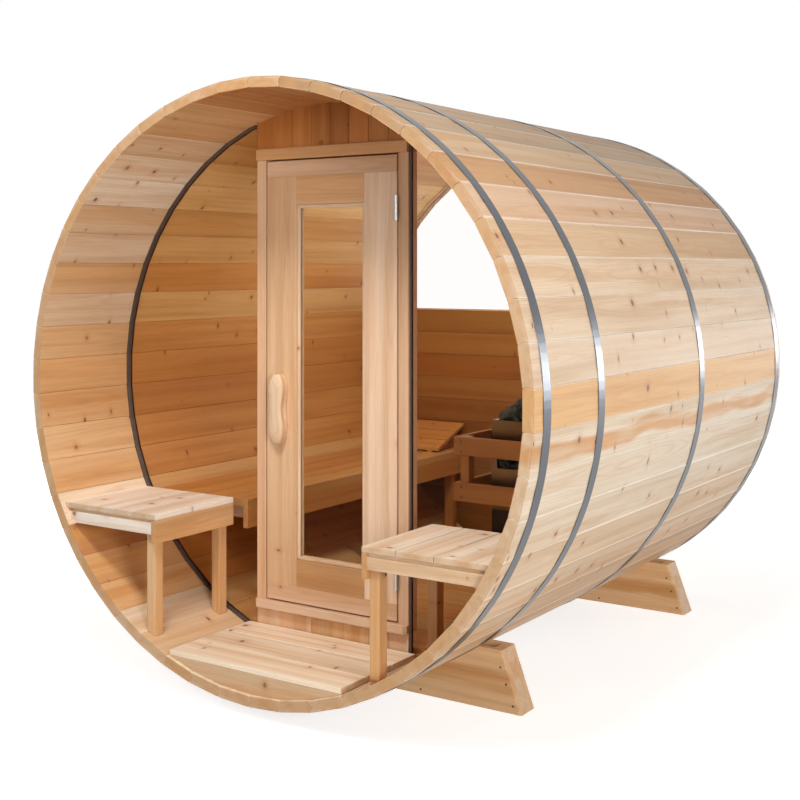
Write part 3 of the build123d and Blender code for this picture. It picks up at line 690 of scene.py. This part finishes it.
bands = bmesh.new()
edge_ys = sorted({round(v.co.y, 4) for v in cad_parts["steel_bands"].data.vertices})
for near, far in zip(edge_ys[::2], edge_ys[1::2]):
    section = [
        (BAND_IN, near),
        (BAND_OUT - BAND_EASE, near),
        (BAND_OUT, near + BAND_EASE),
        (BAND_OUT, far - BAND_EASE),
        (BAND_OUT - BAND_EASE, far),
        (BAND_IN, far),
    ]
    loops = []
    for step in range(BAND_STEPS):
        angle = 2 * pi * step / BAND_STEPS
        points = [(r * cos(angle), y, AXIS_Z + r * sin(angle)) for r, y in section]
        loops.append([bands.verts.new(point) for point in points])
    join_loops(bands, loops, closed=True)
bmesh.ops.recalc_face_normals(bands, faces=bands.faces[:])
finish_piece("band_straps", bands, "sauna", "band_steel", BAND_STEEL, "steel_bands")


# ---- Walls ----
BOARD_FACE = 0.090
REAR_BOARD_FACE = 0.118
JOINT = 0.0012
WALL_EASE = 0.002


def upright_boards(name, node, feet_in_groove, tones):
    """Tongued boards that stand side by side and run into the groove in the staves."""
    low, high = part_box(node)
    count = round((high.x - low.x) / BOARD_FACE)
    pitch = (high.x - low.x) / count
    boards = Boards()
    for place in range(count):
        left = low.x + place * pitch + (JOINT / 2 if place else 0)
        right = low.x + (place + 1) * pitch - (JOINT / 2 if place < count - 1 else 0)
        ends = [AXIS_Z + reach(x, SEATED) for x in (left, right)]
        if feet_in_groove:
            feet = [2 * AXIS_Z - end for end in ends]
            points = [(left, feet[0]), (right, feet[1]), (right, high.z), (left, high.z)]
        else:
            points = [(left, low.z), (right, low.z), (right, ends[1]), (left, ends[0])]
        tone = varied(draw.choice(tones))
        boards.prism(points, "y", low.y, high.y, "z", tone, 0.3, WALL_EASE)
    boards.piece(name, "sauna", "frame_wood", FRAME_WOOD, node)


upright_boards("header_boards", "front_header", False, HEADER_SHADED_TONES)
upright_boards("kick_boards", "front_kickboard", True, (HONEY, PINK))

# The rear wall's boards are level. Their faces towards the room carry painted shade, deepest low
# down
LIT_ROWS = 4
LIT_SHADE, LOW_SHADE = 0.68, 0.5
STUB = 0.05  # half the width of the lowest board along its foot, at the least

low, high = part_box("rear_wall")
rows = round((high.z - low.z) / REAR_BOARD_FACE)
row_height = (high.z - low.z) / rows
rear = Boards()
for row in range(rows):
    bottom = low.z + row * row_height + (JOINT / 2 if row else 0)
    top = low.z + (row + 1) * row_height - JOINT / 2
    corners = []
    for level, side in ((bottom, -1), (bottom, 1), (top, 1), (top, -1)):
        corners.append((side * max(reach(level - AXIS_Z, SEATED), STUB), level))
    if abs(bottom - AXIS_Z) > GROOVE * 0.9:  # low down, where the barrel's side slopes in fast
        mid = (bottom + top) / 2
        half = reach(mid - AXIS_Z, SEATED)
        corners.insert(2, (half, mid))
        corners.append((-half, mid))
    tone = varied(draw.choice((TAN, HONEY, ORANGE, PINK)), 0.05)
    room_shade_tone = deep_room_shaded(tone, LIT_SHADE if row >= rows - LIT_ROWS else LOW_SHADE)
    for vert in rear.prism(corners, "y", low.y, high.y, "x", tone, 0.5, WALL_EASE):
        if vert.co.y < low.y + 1.5 * WALL_EASE:  # on the room's side, or its eased edges
            vert[rear.tone] = room_shade_tone[:3] + (0.0,)
rear.piece("rear_boards", "sauna", "frame_wood", FRAME_WOOD, "rear_wall")


# ---- Boards that keep their CAD shape ----
# Body, slot and material
FRAME = "sauna", "frame_wood", FRAME_WOOD
LEAF = "door", "door_wood", DOOR_WOOD
FLOOR = "sauna", "floor_wood", FLOOR_WOOD
BENCH = "sauna", "bench_wood", BENCH_WOOD
CRADLE = "sauna", "cradle_wood", CRADLE_WOOD
# Tones with the room's painted shade
ROOM_SHADED_MIX = [room_shaded(TAN), room_shaded(HONEY)]


def copy_node(name, node, place, tones, run, figure, ease, **shape):
    """The solids of a CAD node as one piece. place is its body, slot and material, and the rest
    is as in Boards.copy."""
    boards = Boards()
    boards.copy(node, tones, run, figure, ease, **shape)
    boards.piece(name, *place, node)


def rail_tone(centre):
    return TOP_RAIL_TONE if centre.z > AXIS_Z else LOW_RAIL_TONE


def leg_tone(centre):
    """Painted shade for the legs in the room, which stand in its dark lower part."""
    return DEEP_SHADED if centre.y > WALL_Y else HONEY


stile_tone = left_to_right(DOOR_TONE, DOOR_TONE_RIGHT)
seat_tone = left_to_right(WHITE_WOOD, WHITE_WOOD, SAP, SAP)
apron_tone = left_to_right(WHITE_WOOD, PALE)

copy_node("frame_jambs", "door_jambs", FRAME, [PINK], "z", 0.2, 0.002)
copy_node("frame_head", "door_head", FRAME, [ORANGE], "x", 0.2, 0.003)
copy_node("frame_sill", "door_sill", FRAME, [PINK], "x", 0.2, 0.002)
copy_node("frame_stops", "door_stops", FRAME, [PINK], None, 0.2, 0.001)
copy_node("leaf_stiles", "door_stiles", LEAF, stile_tone, "z", 0.1, 0.0015)
copy_node("leaf_rails", "door_rails", LEAF, rail_tone, "x", 0.1, 0.0015)
copy_node("leaf_caps", "door_cap_rails", LEAF, [PINK], "x", 0.1, 0.0015)
copy_node("porch_deck", "porch_floor", FLOOR, [PALE, SAP, SAP], "x", 0.2, 0.003)
copy_node("room_deck", "room_floor", FLOOR, ROOM_SHADED_MIX, "x", 0.0, 0.003)
copy_node("floor_beams", "floor_joists", FLOOR, [TAN], "x", 0.2, 0.002)
copy_node("porch_seat_planks", "porch_bench_boards", BENCH, seat_tone, "y", 0.3, 0.0025)
copy_node("porch_seat_fascias", "porch_bench_fascias", BENCH, [HONEY], "y", 0.5, 0.002)
copy_node("seat_legs", "bench_legs", BENCH, leg_tone, "z", 0.5, 0.003)
copy_node("room_seat_planks", "room_bench_boards", BENCH, ROOM_SHADED_MIX, "y", 0.0, 0.003)
copy_node("room_seat_fascia", "room_bench_fascia", BENCH, [room_shaded(HONEY)], "y", 0.0, 0.002)
copy_node("headrest_slats", "headrest", BENCH, [room_shaded(HONEY)], "x", 0.0, 0.002)

# Under the porch seats' ends a narrow apron hangs back a little, with a shadow gap over it
APRON_BACK = 0.003
APRON_RISE = 0.031  # of its lower edge
BATTEN_BACK = 0.009
apron_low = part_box("porch_bench_aprons")[0]


def in_front(point):
    return point.y < apron_low.y + 0.001


def narrow_apron(point):
    low_edge = point.z < apron_low.z + 0.02
    return point + Vector((0, APRON_BACK * in_front(point), APRON_RISE * low_edge))


def set_back(point):
    return point + Vector((0, BATTEN_BACK * in_front(point), 0))


copy_node(
    "porch_seat_aprons",
    "porch_bench_aprons",
    BENCH,
    apron_tone,
    "x",
    0.1,
    0.0015,
    reshape=narrow_apron,
)
copy_node("seat_battens", "bench_bearers", BENCH, [PALE], None, 0.1, 0.0015, reshape=set_back)

# A cradle is a pair of planks with a block between them at each end, rounded off there
PLANK_ROUNDING = 0.008
BLOCK_DEPTH = 0.057
planks_low, planks_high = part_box("cradle_boards")
blocks_low, blocks_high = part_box("cradle_end_blocks")
PLANK = blocks_low.y - planks_low.y
CRADLE_SEAMS = (
    blocks_low.y,
    blocks_low.y + BLOCK_DEPTH,
    blocks_high.y,
    blocks_high.y - BLOCK_DEPTH,
)


def outer_ends(first, second):
    """Whether an edge of a cradle runs up a sloping end or along its top, on its outer side."""
    along_y = abs(first.y - second.y) > 0.003
    at_end = min(abs(first.x), abs(second.x)) > 0.6
    joined = min(abs(y - seam) for y in (first.y, second.y) for seam in CRADLE_SEAMS) < 1e-4
    return at_end and not along_y and not joined and abs(first.x - second.x) < 0.12


rounded = {"rounds": (outer_ends, PLANK_ROUNDING)}
copy_node("cradle_planks", "cradle_boards", CRADLE, [CRADLE_TONE], "x", 0.8, 0.001, **rounded)
copy_node("cradle_ends", "cradle_end_blocks", CRADLE, [SAP, PALE], "x", 0.8, 0.001, **rounded)

# ---- Glazing ----
BEAD_FACE, BEAD_DEPTH = 0.013, 0.010
low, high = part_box("door_glazing_beads")
outer = [(low.x, low.z), (high.x, low.z), (high.x, high.z), (low.x, high.z)]
inner = [
    (low.x + BEAD_FACE, low.z + BEAD_FACE),
    (high.x - BEAD_FACE, low.z + BEAD_FACE),
    (high.x - BEAD_FACE, high.z - BEAD_FACE),
    (low.x + BEAD_FACE, high.z - BEAD_FACE),
]
beads = Boards()
for near in (low.y, high.y - BEAD_DEPTH):
    for i in range(4):
        j = (i + 1) % 4
        corners = [outer[i], outer[j], inner[j], inner[i]]
        run = "x" if i % 2 == 0 else "z"
        tone = varied(PALE, 0.03)
        beads.prism(corners, "y", near, near + BEAD_DEPTH, run, tone, 0.1, 0.003)
beads.piece("leaf_glazing_beads", "door", "door_wood", DOOR_WOOD, "door_glazing_beads")

# The front panes stand in rubber, and the rear window is held by wooden stops
gaskets = Boards()
gaskets.copy("glass_channels", [TAN], "x", 0.2, 0.001)
gasket = gaskets.piece("glass_gaskets", "sauna", "channel_rubber", CHANNEL, "glass_channels")
gasket.data.materials.append(FRAME_WOOD)
for face in gasket.data.polygons:
    face.material_index = int(face.center.y > 0)

# ---- Handles ----
HANDLE_STEPS = 56  # along a handle
HALF_SECTION_STEPS = 14
GRIP_SHOULDER = 0.072  # from the handle's middle to where it is widest
GRIP_WAIST = 0.006  # how much narrower each side is in the middle
SCOOP, SCOOP_HALF = 0.010, 0.062  # hollow for the fingers: its depth and half its length
TIP_THINNING = 0.012
SIDE_SHARE = 0.78  # of the thickness, before the face rounds over
low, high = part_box("door_handles")
leaf_low, leaf_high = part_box("door_stiles")
grip_half = (high.x - low.x) / 2
grip_middle = (low + high) / 2
grip_reach = (high.z - low.z) / 2
handles = Boards()


def smoothstep(value):
    value = min(max(value, 0.0), 1.0)
    return value * value * (3 - 2 * value)


def grip_section(rise):
    """Half of the handle's section at a height over its middle: points (sideways, outwards)."""
    far = min(max((abs(rise) - GRIP_SHOULDER) / (grip_reach - GRIP_SHOULDER), 0.0), 1.0)
    wide = grip_half - GRIP_WAIST * (1 - smoothstep(abs(rise) / GRIP_SHOULDER))
    wide *= sqrt(1 - (0.92 * far) ** 2)
    thick = leaf_low.y - low.y - TIP_THINNING * far**2
    scoop = SCOOP * smoothstep(1 - abs(rise) / SCOOP_HALF)
    points = []
    for step in range(HALF_SECTION_STEPS + 1):
        turn = step / HALF_SECTION_STEPS
        if turn < 0.5:
            outward = thick * SIDE_SHARE * turn / 0.5
            sideways = wide - scoop * sin(pi * min(outward / (thick * 0.72), 1.0)) ** 1.4
        else:
            angle = (turn - 0.5) * pi
            outward = thick * (SIDE_SHARE + (1 - SIDE_SHARE) * sin(angle) ** 0.9)
            sideways = wide * max(cos(angle), 0.0) ** 0.62
        points.append((sideways, outward))
    return points


for face_y, out in ((leaf_low.y, -1), (leaf_high.y, 1)):
    loops = []
    for step in range(HANDLE_STEPS + 1):
        rise = -grip_reach * cos(pi * step / HANDLE_STEPS)
        half = grip_section(rise)
        around = half + [(-sideways, outward) for sideways, outward in half[-2::-1]]
        centre = Vector((grip_middle.x, face_y, grip_middle.z + rise))
        loops.append([handles.bm.verts.new(centre + Vector((a, out * d, 0))) for a, d in around])
    join_loops(handles.bm, loops)
    handles.bm.faces.new(loops[0])
    handles.bm.faces.new(loops[-1])
    verts = [vert for loop in loops for vert in loop]
    faces = list({face for vert in verts for face in vert.link_faces})
    bmesh.ops.recalc_face_normals(handles.bm, faces=faces)
    handles.mark_straight(verts, "z", varied(PALE, 0.02), 0.3)
handles.piece("grips", "door", "door_wood", DOOR_WOOD, "door_handles", smooth=True)

# ---- Heater stones ----
ROCK_SIZE = 0.042
ROCK_PITCH = 0.062
ROCK_JOG = 0.01
EDGE_MARGIN = 0.85 * ROCK_SIZE  # from the sides of the heap to the middle of the nearest stones
CROWN_MARGIN = 0.077  # the same in the top layer
LAYER_DEPTHS = 0.275, 0.205, 0.135, 0.075, 0.045  # below the top of the heap


def add_rock(bm, centre, size, seed):
    made = bmesh.ops.create_icosphere(bm, subdivisions=2, radius=1.0)["verts"]
    turn = Matrix.Rotation(draw.uniform(0, 6.28), 3, Vector((draw.random(), draw.random(), 1)))
    spread = Vector((draw.uniform(0.8, 1.2), draw.uniform(0.7, 1.1), draw.uniform(0.55, 0.85)))
    for vert in made:
        lump = 1 + 0.35 * noise.noise(vert.co * 1.3 + Vector((seed * 7.1, 0, 0)))
        lump += 0.16 * noise.noise(vert.co * 3 + Vector((0, seed * 3.3, 0)))
        flat = max(abs(c) for c in vert.co)
        shape = vert.co * lump * (0.72 + 0.28 / flat)
        vert.co = centre + turn @ Vector([shape[i] * spread[i] * size for i in range(3)])


low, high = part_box("heater_stones")
rocks = bmesh.new()
seed = 0
for depth in LAYER_DEPTHS:
    margin = CROWN_MARGIN if depth == LAYER_DEPTHS[-1] else EDGE_MARGIN
    for x in np.arange(low.x + margin, high.x - margin + 0.01, ROCK_PITCH):
        for y in np.arange(low.y + margin, high.y - margin + 0.01, ROCK_PITCH):
            seed += 1
            jog = Vector([draw.uniform(-ROCK_JOG, ROCK_JOG) for _ in range(3)])
            centre = Vector((x, y, high.z - depth)) + jog
            add_rock(rocks, centre, ROCK_SIZE * draw.uniform(0.75, 0.98), seed)
for vert in rocks.verts:  # none sticks out of the heap's box, apart from its foot
    for i in range(2):
        vert.co[i] = min(max(vert.co[i], low[i] + 0.001), high[i] - 0.001)
    vert.co.z = min(vert.co.z, high.z)
finish_piece("stone_pile", rocks, "sauna", "stone", STONE, "heater_stones")

# ---- Heater trim ----
RIM_TUBE = 0.006  # half the rim's width, and a quarter of its height
RIM_CORNER = 0.014
CORNER_STEPS = 6
TUBE_STEPS = 12
heater_low, heater_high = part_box("heater_body")
rim = bmesh.new()
loops = []
for x, y, start in (
    (heater_high.x, heater_high.y, 0),
    (heater_low.x, heater_high.y, 90),
    (heater_low.x, heater_low.y, 180),
    (heater_high.x, heater_low.y, 270),
):
    centre_x = x - RIM_CORNER * (1 if start in (0, 270) else -1)
    centre_y = y - RIM_CORNER * (1 if start in (0, 90) else -1)
    for corner_step in range(CORNER_STEPS + 1):
        heading = radians(start + 90 * corner_step / CORNER_STEPS)
        loop = []
        for step in range(TUBE_STEPS):
            angle = 2 * pi * step / TUBE_STEPS
            out = RIM_CORNER - RIM_TUBE + RIM_TUBE * cos(angle)
            z = heater_high.z - RIM_TUBE * 2 + RIM_TUBE * 2 * sin(angle)
            spot = (centre_x + cos(heading) * out, centre_y + sin(heading) * out, z)
            loop.append(rim.verts.new(spot))
        loops.append(loop)
join_loops(rim, loops, closed=True)
bmesh.ops.recalc_face_normals(rim, faces=rim.faces[:])
finish_piece("heater_rim", rim, "sauna", "heater_steel", HEATER_RIM, smooth=True)

SKIN = 0.0015  # thickness of the side panels
PANEL_INSET = 0.004
PANEL_EASE = 0.0004
panel_top = heater_low.z + 0.40
panel_foot = heater_high.z - 0.53
panels = Boards()
left, right = heater_low.x, heater_high.x
near, far = heater_low.y, heater_high.y
for low, high in (
    ((left + PANEL_INSET, near - SKIN), (right - PANEL_INSET, near)),
    ((left - SKIN, near + PANEL_INSET), (left, far - PANEL_INSET)),
    ((right, near + PANEL_INSET), (right + SKIN, far - PANEL_INSET)),
):
    panels.block((*low, panel_foot), (*high, panel_top), "z", PALE, 0.0, PANEL_EASE)
panels.piece("heater_panels", "sauna", "heater_steel", HEATER_DARK)

# ---- Guard round the heater ----
RAIL_THICK, RAIL_HIGH = 0.019, 0.073
POST_WIDE, POST_DEEP = 0.038, 0.045
GUARD_EASE = 0.002
low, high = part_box("heater_guard")
post_left = low.x + RAIL_THICK
# The rails and posts carry the room's deepest painted shade
guard = Boards()
for foot in (high.z - RAIL_HIGH, low.z):
    head = foot + RAIL_HIGH
    ends = [reach(level - AXIS_Z) for level in (foot, head)]
    for near in (low.y, high.y - RAIL_THICK):
        corners = [(low.x, foot), (ends[0], foot), (ends[1], head), (low.x, head)]
        guard.prism(corners, "y", near, near + RAIL_THICK, "x", varied(DEEP_SHADED), 0.0, GUARD_EASE)
    near_end = (low.x, low.y + RAIL_THICK, foot)
    far_end = (post_left, high.y - RAIL_THICK, head)
    guard.block(near_end, far_end, "y", varied(DEEP_SHADED), 0.0, GUARD_EASE)
for near in (low.y + RAIL_THICK, high.y - RAIL_THICK - POST_DEEP):
    post_low = (post_left, near, low.z)
    post_high = (post_left + POST_WIDE, near + POST_DEEP, high.z)
    guard.block(post_low, post_high, "z", varied(DEEP_SHADED), 0.0, GUARD_EASE)
guard.piece("guard_rails", "sauna", "bench_wood", BENCH_WOOD, "heater_guard")

# ---- Screws ----
SCREW_RADIUS = 0.0042
SCREW_STEPS = 16
SCREW_RINGS = (  # share of the radius, lift and shape of the rings of a head, from the outside
    (1.0, 0.0, "round"),
    (0.92, 0.0004, "round"),
    (0.42, 0.0004, "square"),
    (0.36, 0.0, "square"),
)
RAIL_SCREW = 0.017  # from an edge of a rail
POST_SCREW = 0.014  # from an edge of a post
CRADLE_SCREWS = (0.664, 0.152), (0.686, 0.097), (0.712, 0.027), (0.345, 0.017)  # sideways, up


def add_screw(bm, place, out):
    """A flat head with a square recess, whose floor is level with the wood's face."""
    side = Vector((1, 0, 0)) if abs(out.x) < 0.5 else Vector((0, 1, 0))
    up = out.cross(side)
    rings = []
    for share, lift, shape in SCREW_RINGS:
        ring = []
        for step in range(SCREW_STEPS):
            angle = 2 * pi * step / SCREW_STEPS
            away = share * SCREW_RADIUS
            if shape == "square":
                away /= max(abs(cos(angle)), abs(sin(angle)))
            spot = place + out * lift + (side * cos(angle) + up * sin(angle)) * away
            ring.append(bm.verts.new(spot))
        rings.append(ring)
    join_loops(bm, rings)
    bm.faces.new(rings[-1])


screws = bmesh.new()
front = Vector((0, -1, 0))
for foot in (low.z, high.z - RAIL_HIGH):
    for z in (foot + RAIL_SCREW, foot + RAIL_HIGH - RAIL_SCREW):
        add_screw(screws, Vector((post_left + POST_SCREW, low.y, z)), front)
for y, out in (
    (planks_low.y, front),
    (blocks_low.y + BLOCK_DEPTH + PLANK, -front),
    (planks_high.y - BLOCK_DEPTH - 2 * PLANK, front),
    (planks_high.y, -front),
):
    for x, z in CRADLE_SCREWS:
        for side in (-1, 1):
            add_screw(screws, Vector((side * x, y, z)), out)
bmesh.ops.recalc_face_normals(screws, faces=screws.faces[:])
finish_piece("screw_heads", screws, "sauna", "hinge_steel", SCREW_STEEL)

# ---- CAD nodes that keep their shape ----
KEPT = {
    "side_glass": GLASS,
    "door_glass": GLASS,
    "rear_glass": GLASS,
    "door_hinge_leaves": HINGE_STEEL,
    "frame_hinge_leaves": HINGE_STEEL,
    "heater_body": HEATER_STEEL,
}
for node, material in KEPT.items():
    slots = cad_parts[node].data.materials
    slots.clear()
    slots.append(material)

# ---- Floor, light and camera ----
WHITE = (1, 1, 1, 1)
ground = bmesh.new()
bmesh.ops.create_grid(ground, x_segments=1, y_segments=1, size=40)
n = material_nodes("studio_floor")
spot = n.add("TexCoord").outputs["Object"]
patches = n.steps(n.noise(spot, 2.0), (0.4, 0.0), (0.7, 1.0))
# The floor is lit by lamps near the barrel only, so it shines by itself farther out
distance = n.add("VectorMath", {0: spot}, operation="LENGTH").outputs["Value"]
fade = {"Value": distance, "From Min": 2.0, "From Max": 5.0, "To Min": 0.74, "To Max": 1.0}
glow = n.add("MapRange", fade).outputs[0]
n.finish(
    Base_Color=n.mix(patches, srgb(206, 204, 201), srgb(200, 199, 197)),
    Roughness=0.9,
    Specular_IOR_Level=0.0,
    Emission_Color=WHITE,
    Emission_Strength=n.math("MULTIPLY", n.seen(), glow),
)
studio_floor = add_object("studio_floor", ground, n.owner)

# The world is white where it is seen, and lights the barrel only a little
world = bpy.data.worlds.new("studio")
bpy.context.scene.world = world
n = Nodes(world, "Background")
strength = n.add("MapRange", {"Value": n.seen(), "To Min": 0.06, "To Max": 1.0})
n.finish(Color=WHITE, Strength=strength.outputs[0])


def softbox(name, place, target, size, power):
    light = bpy.data.lights.new(name, "AREA")
    light.shape = "RECTANGLE"
    light.size, light.size_y = size
    light.energy = power
    lamp = bpy.data.objects.new(name, light)
    lamp.location = place
    lamp.rotation_euler = (Vector(target) - Vector(place)).to_track_quat("-Z", "Y").to_euler()
    lamp.visible_camera = False
    lamp.visible_transmission = False
    bpy.context.scene.collection.objects.link(lamp)


softbox("key", (5.9, -5.0, 1.9), (0.4, 0, 1.0), (2.5, 2.5), 245)
softbox("side", (7.4, -0.8, 1.9), (0.8, 0, 1.1), (2.5, 2.5), 75)
softbox("porch", (0.65, -3.35, 5.0), (0, -0.85, 0.6), (1.3, 1.0), 156)
softbox("front", (-0.5, -3.6, 2.5), (0.2, -0.8, 0.6), (1.2, 0.8), 13)
softbox("room", (0.1, 0.2, 1.7), (-0.8, 0.75, 0.75), (0.3, 0.3), 6.5)
softbox("rear", (4.2, 6.6, 1.3), (1.0, 0, 1.2), (3.0, 1.2), 110)
softbox("left", (-6.5, 0.8, 2.4), (-1.0, 0.4, 1.0), (2.5, 2.5), 190)
softbox("back", (-2.0, 7.0, 2.0), (0, 1.2, 0.9), (2.5, 2.0), 90)

# The camera was fitted to the photograph
camera = bpy.data.cameras.new("camera")
camera.lens = 58.005
camera.sensor_width = 36.0
camera.shift_x = 0.0865
camera.shift_y = -0.1648
eye = bpy.data.objects.new("camera", camera)
eye.location = (2.746, -4.612, 1.523)
eye.rotation_euler = (radians(90), 0, radians(35.29))
bpy.context.scene.collection.objects.link(eye)
bpy.context.scene.camera = eye

bpy.context.scene.view_settings.view_transform = "Standard"
